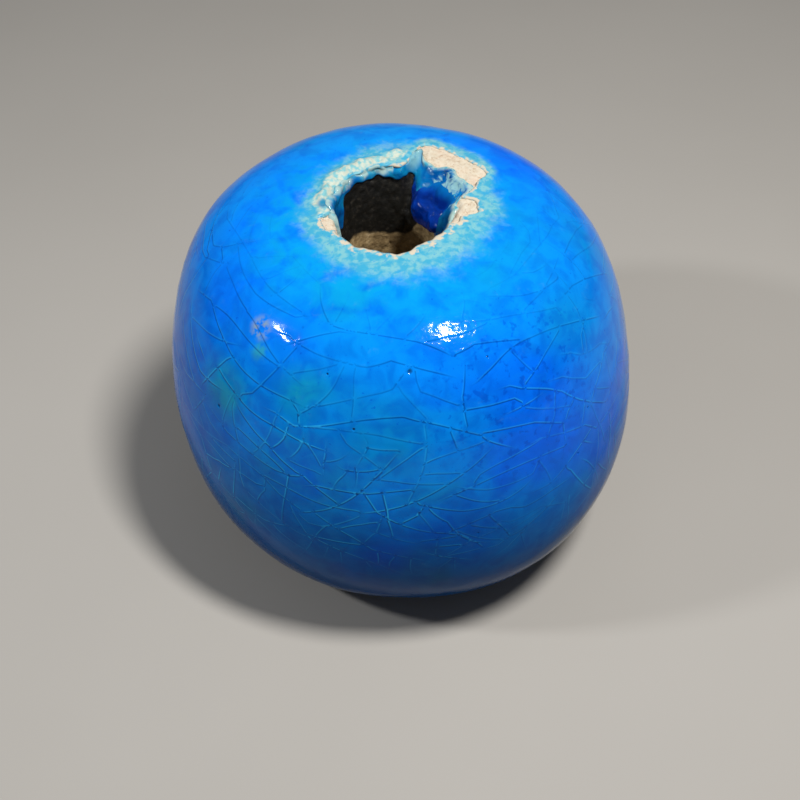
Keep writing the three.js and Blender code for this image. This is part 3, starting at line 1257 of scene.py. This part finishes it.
def crackle_glaze():
    """Glossy blue glaze in clouds, with pale cracks and a worn pale ring at the mouth."""
    n = Nodes("crackle_glaze")
    tint = n.attribute("tint")
    cell = n.times(tint, 0.45)
    cloud = n.plus(n.times(n.noise(20.0, 3.0, 0.8), 0.62), cell)
    n.body = n.ramp(cloud, [(0.36, COBALT), (0.5, AZURE), (0.6, AZURE), (0.7, TURQUOISE)])
    for theta, along, inner, outer, colour, strength in CLOUDS:
        ragged = n.plus(n.times(n.noise(4.0, 4.0, 0.5), 0.8), cell)
        share = n.times(n.near(on_ball(theta, along), inner, outer), ragged)
        share = n.math("MULTIPLY", share, strength * 1.5, clamp=True)
        n.body = n.mix(share, n.body, colour)
    n.lay(n.rise(n.noise(2.6, 5.0, 0.6), 0.38, 0.68), 0.4, DEEP_COBALT)
    n.lay(n.rise(n.noise(6.5, 6.0, 1.0, 0.6), 0.52, 0.72), 0.22, SKY)
    n.body = n.mix(n.rise(tint, 0.5, 0.1, 0.0, 0.5), n.body, COBALT)
    n.body = n.mix(n.rise(tint, 0.5, 0.9, 0.0, 0.32), n.body, TURQUOISE)
    n.lay(n.rise(n.noise(0.5, 2.0), 0.68, 0.75), 0.5, DEEP_COBALT)
    spotted = n.near(on_ball(*SPOTTED), 7.0, 16.0)
    spots = n.times(spotted, n.rise(n.noise(0.95, 2.5, 0.2), 0.56, 0.68))
    n.lay(spots, 0.55, DEEP_COBALT)

    # Painted shade: darker towards the foot, where the underside is in shade; it also stands for
    # glaze that ran down thicker there while molten.
    n.lay(n.rise(n.axis("Z"), 39 * MM, 8 * MM), 0.9, FOOT_SHADE)

    # Thinner and greener glaze towards the mouth.
    halo = n.near(HALO_MIDDLE, 11.0, 22.0)
    halo = n.times(halo, n.rise(n.noise(3.5, 5.0, 0.6), 0.3, 0.62))
    n.lay(halo, 0.75, HALO_GREEN)

    rubbed = n.near(on_ball(*RUBBED_SPOT), 0.4, 2.0)
    rubbed = n.times(rubbed, n.rise(n.noise(0.9, 4.0), 0.4, 0.6))
    n.lay(rubbed, 0.75, RUBBED_YELLOW)
    trail = n.near(on_ball(*RUBBED_TRAIL), 0.3, 1.9)
    trail = n.times(trail, n.rise(n.noise(1.1, 4.0), 0.35, 0.6))
    n.lay(trail, 0.6, RUBBED_GREEN)

    worn = n.attribute("worn")
    patchy = n.times(n.noise(2.4, 6.0, 0.5, 0.68), 0.9)
    pale_share = n.rise(n.plus(worn, patchy), 0.52, 1.2)
    pale_colour = n.mix(n.rise(n.noise(0.9, 4.0, 0.3), 0.38, 0.62), PALE_BLUE, PALE)
    n.lay(pale_share, 0.95, pale_colour)
    speck = n.times(n.rise(n.noise(0.45, 3.0), 0.62, 0.7), pale_share)
    n.lay(speck, 0.5, TURQUOISE)
    edge = n.plus(worn, n.times(n.noise(0.8, 4.0), 0.35))
    bare_share = n.rise(edge, 1.13, 1.19)
    bare_share = n.times(bare_share, n.rise(n.attribute("crust"), 0.12, 0.02))
    n.body = n.mix(bare_share, n.body, CREAM)
    crust = n.plus(n.attribute("crust"), n.times(n.noise(1.0, 5.0), 0.5))
    crust_share = n.rise(crust, 0.52, 0.86)
    crust_colour = n.mix(n.rise(n.noise(0.7, 4.0), 0.35, 0.6), PALE, CRUST)
    n.body = n.mix(crust_share, n.body, crust_colour)
    n.lay(n.near(LEFT_POOL, 0.5, 1.3), 0.9, POOL_BLUE)

    # Painted highlight on each crack's ridge, and painted shadow in its groove.
    n.lay(n.attribute("crack_highlight"), 0.95, CRACK_HIGHLIGHT)
    n.lay(n.attribute("crack_shade"), 0.75, CRACK_SHADE)
    n.lay(n.attribute("pit"), 0.85, PINHOLE)

    rough = n.plus(n.times(pale_share, 0.2), 0.07)
    rough = n.plus(rough, n.times(bare_share, 0.4))
    rough = n.plus(rough, n.times(crust_share, 0.2))
    rough = n.plus(rough, n.times(n.noise(4.0, 2.0), 0.04))
    gloss = n.rise(n.axis("Z"), 24 * MM, 42 * MM, 0.12, 0.5)
    n.put(n.shader.inputs["Specular IOR Level"], gloss)
    peel_share = n.near(on_ball(*ORANGE_PEEL), 1.5, 7.5)
    peel_height = n.times(n.noise(0.75, 1.5), n.plus(peel_share, 0.12))
    peel = n.bump(peel_height, 0.6, 0.07)
    normal = n.bump(n.noise(0.35, 3.0), 0.1, 0.02, under=peel)
    return n.finish(rough, normal, GLAZE_IOR)


def bare_clay():
    """Sandy cream clay at the lips and the foot; down the bore, near-black painted shade, and lower
    down tan clay painted lighter where light falls.
    """
    n = Nodes("bare_clay")
    n.body = n.ramp(
        n.noise(0.6, 5.0, 0.2, 0.7),
        [(0.28, (0.33, 0.21, 0.13, 1.0)), (0.44, (0.53, 0.45, 0.34, 1.0)),
         (0.66, (0.58, 0.53, 0.43, 1.0))],
    )
    n.lay(n.rise(n.noise(0.28, 2.0), 0.62, 0.72), 0.6, linear(140, 96, 74))
    n.lay(n.rise(n.noise(4.0, 2.0), 0.45, 0.7), 0.16, linear(226, 176, 150))

    # Down the bore: near-black painted shade, giving way low down to tan clay painted lighter where
    # light falls.
    dark = n.ramp(
        n.noise(0.8, 5.0, 0.3, 0.7),
        [(0.3, (0.003, 0.003, 0.002, 1.0)), (0.55, (0.008, 0.007, 0.005, 1.0)),
         (0.74, (0.04, 0.033, 0.024, 1.0))],
    )
    tan = n.ramp(
        n.noise(0.9, 5.0, 0.3, 0.7),
        [(0.3, linear(108, 88, 58)), (0.6, linear(166, 142, 102)), (0.75, linear(206, 184, 146))],
    )
    wander = n.times(n.noise(2.5, 5.0), 0.7)
    lit_bore = n.rise(n.plus(n.attribute("lit_bore"), wander), 0.75, 0.98)
    wall = n.mix(lit_bore, dark, tan)
    n.body = n.mix(n.attribute("shaded_bore"), n.body, wall)
    n.shader.inputs["Specular IOR Level"].default_value = 0.35
    roughness = n.plus(n.times(n.attribute("shaded_bore"), -0.35), 0.88)
    return n.finish(roughness, n.bump(n.noise(0.35, 4.0, 0.0, 0.7), 0.7, 0.12))


def mouth_glaze():
    """Wet-looking turquoise to blue glaze, pale at its edge and veined where it is thin."""
    n = Nodes("mouth_glaze")
    n.body = n.ramp(
        n.noise(3.6, 4.0, 0.8),
        [(0.3, (0.0, 0.05, 0.22, 1.0)), (0.5, (0.001, 0.11, 0.34, 1.0)),
         (0.68, (0.005, 0.22, 0.42, 1.0))],
    )
    veins = n.rise(n.noise(1.8, 6.0, 1.6), 0.45, 0.62)
    n.body = n.mix(n.times(veins, n.near(BASIN, 2.0, 4.8)), n.body, VEIN)
    n.lay(n.near(DEEP_CORNER, 1.0, 2.4), 0.8, CORNER_BLUE)
    down = n.attribute("down")
    n.lay(n.times(n.near(LEFT_WALL, 3.0, 6.0), n.rise(down, 0.9, 2.2)), 0.8, LEFT_SHADE)
    n.lay(n.near(FRONT_WALL, 3.0, 5.5), 0.9, FRONT_SHADE)
    ragged = n.plus(down, n.times(n.noise(1.6, 4.0, 0.4), 1.4))
    lip_colour = n.mix(n.rise(n.noise(0.9, 4.0), 0.36, 0.54), LIP_BLUE, LIP_PALE)
    n.lay(n.rise(ragged, 1.8, 1.0), 0.85, lip_colour)
    notch = n.times(n.near(NOTCH, 1.2, 2.6), n.rise(n.noise(1.3, 4.0, 0.5), 0.3, 0.5))
    n.lay(notch, 0.9, CORNER_PALE)
    return n.finish(0.07, n.bump(n.noise(0.7, 2.0), 0.9, 0.12), GLAZE_IOR)


def run_glaze():
    """Thick cobalt glass."""
    n = Nodes("run_glaze")
    n.body = n.ramp(
        n.noise(2.6, 3.0, 0.8),
        [(0.34, (0.0, 0.010, 0.11, 1.0)), (0.56, (0.001, 0.03, 0.26, 1.0)),
         (0.74, (0.001, 0.09, 0.40, 1.0))],
    )
    n.lay(n.rise(n.attribute("down"), -0.2, -0.8), 0.85, RUN_THIN)
    return n.finish(0.05, n.bump(n.noise(0.8, 2.0), 0.8, 0.11), GLAZE_IOR)


def studio_floor():
    """A plain pale matt floor."""
    n = Nodes("studio_floor")
    n.body = n.mix(n.noise(60.0, 3.0), linear(162, 158, 152), linear(170, 166, 160))
    return n.finish(0.8)


# ---------------------------------------------------------------- camera, lights, floor

BALL_CENTRE = Vector((0, 0, MID_HEIGHT * MM))
CAMERA_ELEVATION = 46.0
CAMERA_DISTANCE = 5.5 * BALL_RADIUS * MM
CAMERA_ROLL = -0.5
SENSOR_WIDTH = 36.0
FIELD_OF_VIEW = 36.0
CAMERA_SHIFT = (0.0017, -0.061)   # in shares of the picture's width
LIGHT_DISTANCE = 0.3              # metres, as the lights' sizes and the floor's
SKY_STRENGTH = 0.10
FLOOR_REACH = 1.5


def direction(round_angle, elevation):
    """A unit vector: round_angle 0 points at the camera and 90 to the right."""
    a, e = math.radians(round_angle), math.radians(elevation)
    return Vector((math.sin(a) * math.cos(e), -math.cos(a) * math.cos(e), math.sin(e)))


def make_camera():
    data = bpy.data.cameras.new("camera")
    data.sensor_width = SENSOR_WIDTH
    data.lens = SENSOR_WIDTH / 2 / math.tan(math.radians(FIELD_OF_VIEW / 2))
    data.clip_start = 0.005
    data.shift_x, data.shift_y = CAMERA_SHIFT
    camera = bpy.data.objects.new("camera", data)
    back = direction(0, CAMERA_ELEVATION)
    camera.location = BALL_CENTRE + back * CAMERA_DISTANCE
    camera.rotation_mode = "QUATERNION"
    roll = Matrix.Rotation(math.radians(CAMERA_ROLL), 3, "Z").to_quaternion()
    camera.rotation_quaternion = (-back).to_track_quat("-Z", "Y") @ roll
    bpy.context.scene.collection.objects.link(camera)
    bpy.context.scene.camera = camera


def area_light(name, round_angle, elevation, size, turn, power, colour):
    """size is (width, height), turned about the line to the ball that the light faces."""
    data = bpy.data.lights.new(name, "AREA")
    data.shape = "ELLIPSE"
    data.size, data.size_y = size
    data.energy = power
    data.color = colour
    light = bpy.data.objects.new(name, data)
    away = direction(round_angle, elevation)
    light.location = BALL_CENTRE + away * LIGHT_DISTANCE
    light.rotation_mode = "QUATERNION"
    spin = Matrix.Rotation(math.radians(turn), 3, "Z").to_quaternion()
    light.rotation_quaternion = away.to_track_quat("Z", "Y") @ spin
    bpy.context.scene.collection.objects.link(light)


def make_lights():
    area_light(
        "overhead", round_angle=57, elevation=70, size=(0.076, 0.034), turn=80,
        power=1.08, colour=(1.0, 0.985, 0.96),
    )
    area_light(
        "window", round_angle=-76, elevation=42, size=(0.030, 0.018), turn=0,
        power=0.30, colour=(0.96, 0.98, 1.0),
    )
    world = bpy.data.worlds.new("studio")
    world.use_nodes = True
    sky = world.node_tree.nodes["Background"]
    sky.inputs["Color"].default_value = (0.92, 0.95, 1.0, 1.0)
    sky.inputs["Strength"].default_value = SKY_STRENGTH
    bpy.context.scene.world = world


def make_floor():
    corners = [(x * FLOOR_REACH, y * FLOOR_REACH, 0) for x, y in ((-1, -1), (1, -1), (1, 1), (-1, 1))]
    mesh = bpy.data.meshes.new("studio_floor")
    mesh.from_pydata(corners, [], [(0, 1, 2, 3)])
    floor = bpy.data.objects.new("studio_floor", mesh)
    floor.data.materials.append(studio_floor())
    bpy.context.scene.collection.objects.link(floor)


# ---------------------------------------------------------------- the model

PIECES = [
    (build_clay_body, bare_clay, "clay_body", "bare_clay"),
    (build_outer_glaze, crackle_glaze, "outer_glaze", "crackle_glaze"),
    (build_upper_mouth_glaze, mouth_glaze, "upper_mouth_glaze", "mouth_glaze"),
    (build_lower_mouth_glaze, mouth_glaze, "lower_mouth_glaze", "mouth_glaze"),
    (build_glaze_run, run_glaze, "glaze_run", "run_glaze"),
]

make_camera()
make_lights()
make_floor()
for build, material, node, slot in PIECES:
    piece = build()
    piece.data.materials.append(material())
    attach(piece, "root")
    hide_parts(node)
    print(piece.name, len(piece.data.vertices), "points", len(piece.data.polygons), "faces")

bpy.context.scene.view_settings.view_transform = "Standard"
